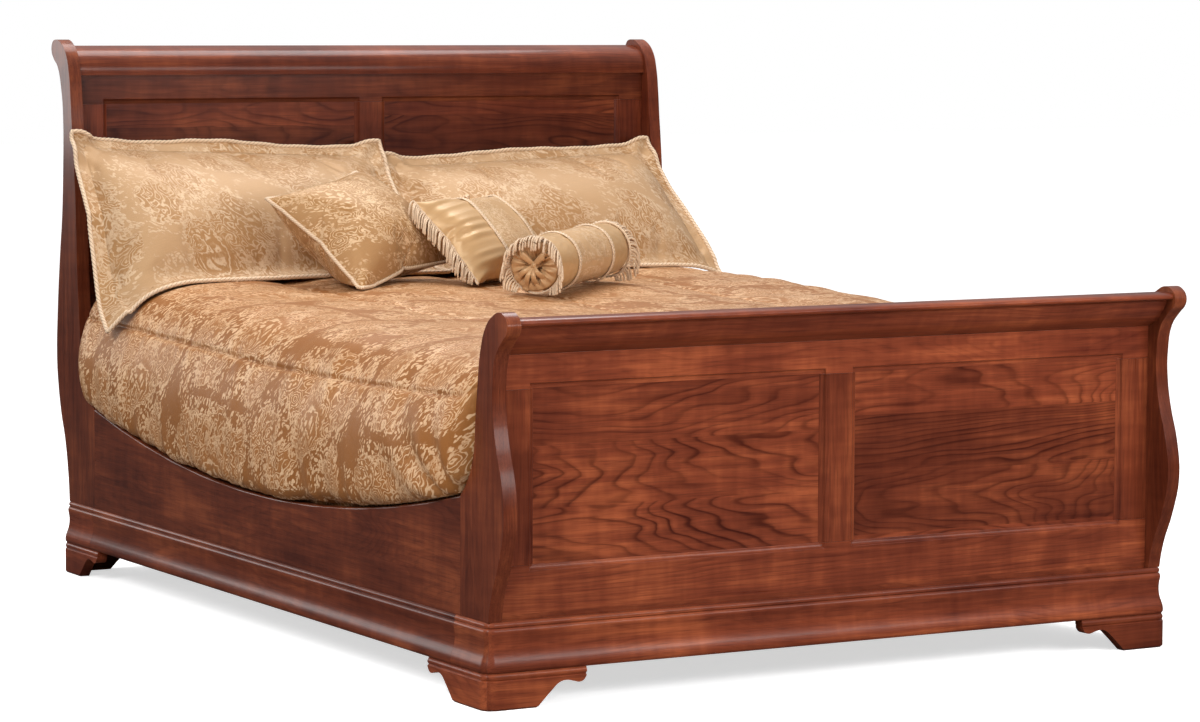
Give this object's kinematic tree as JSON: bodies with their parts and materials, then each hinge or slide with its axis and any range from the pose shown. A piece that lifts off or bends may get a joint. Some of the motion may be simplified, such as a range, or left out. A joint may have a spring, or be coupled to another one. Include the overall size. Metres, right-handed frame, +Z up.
{
  "type": "sleigh bed",
  "caption": "Panelled sleigh bed with scrolled head and foot, scooped side rails, moulded base and bracket feet, made up with comforter, shams and cushions.",
  "frame": {"origin": "on the floor, under the middle of the bed's overall length and width", "axes": "+Z up, +Y from the footboard toward the headboard, +X to the right seen from the foot end"},
  "size_m": [1.7418, 2.3515, 1.3],
  "materials": {
    "cherry": "reddish-brown stained cherry under a satin-gloss lacquer",
    "softwood": "planed, unfinished",
    "steel": "dull zinc plate",
    "ticking": "woven mattress ticking",
    "damask": "woven jacquard, golden bronze",
    "satin": "smooth satin, golden bronze"
  },
  "bodies": {
    "bed": {"beam_leg_foot": "softwood", "beam_leg_head": "softwood", "bracket_foot_left_end": "cherry", "bracket_foot_left_side": "cherry", "bracket_foot_right_end": "cherry", "bracket_foot_right_side": "cherry", "bracket_head_left_end": "cherry", "bracket_head_left_side": "cherry", "bracket_head_right_end": "cherry", "bracket_head_right_side": "cherry", "centre_beam": "softwood", "comforter": "damask", "foot_base_moulding": "cherry", "foot_bottom_rail": "cherry", "foot_crest_rail": "cherry", "foot_panel_left": "cherry", "foot_panel_right": "cherry", "foot_post_left": "cherry", "foot_post_right": "cherry", "foot_return_left": "cherry", "foot_return_right": "cherry", "foot_stile_centre": "cherry", "foot_stile_left": "cherry", "foot_stile_right": "cherry", "foot_top_rail": "cherry", "foundation": "ticking", "head_base_moulding": "cherry", "head_bottom_rail": "cherry", "head_crest_rail": "cherry", "head_cross_rail": "cherry", "head_panel_left": "cherry", "head_panel_right": "cherry", "head_post_left": "cherry", "head_post_right": "cherry", "head_return_left": "cherry", "head_return_right": "cherry", "head_stile_centre": "cherry", "head_stile_left": "cherry", "head_stile_right": "cherry", "head_top_rail": "cherry", "mattress": "ticking", "rail_bracket_foot_left": "steel", "rail_bracket_foot_right": "steel", "rail_bracket_head_left": "steel", "rail_bracket_head_right": "steel", "sham_left": "damask", "sham_right": "damask", "side_moulding_left": "cherry", "side_moulding_right": "cherry", "side_rail_left": "cherry", "side_rail_right": "cherry", "slat_1": "softwood", "slat_2": "softwood", "slat_3": "softwood", "slat_4": "softwood", "slat_cleat_left": "softwood", "slat_cleat_right": "softwood"},
    "square_cushion": {"square_cushion": "damask"},
    "fringed_cushion": {"fringed_cushion": "satin"},
    "bolster": {"bolster": "satin"}
  },
  "joints": [
    {"name": "bolster_lift", "type": "slide", "parent": "bed", "child": "bolster", "axis": [0, 0, 1], "range_m": [0, 0.62]},
    {"name": "fringed_cushion_lift", "type": "slide", "parent": "bed", "child": "fringed_cushion", "axis": [0, 0, 1], "range_m": [0, 0.62]},
    {"name": "square_cushion_lift", "type": "slide", "parent": "bed", "child": "square_cushion", "axis": [-0.6, 0, 0.8], "range_m": [0, 0.8]}
  ]
}
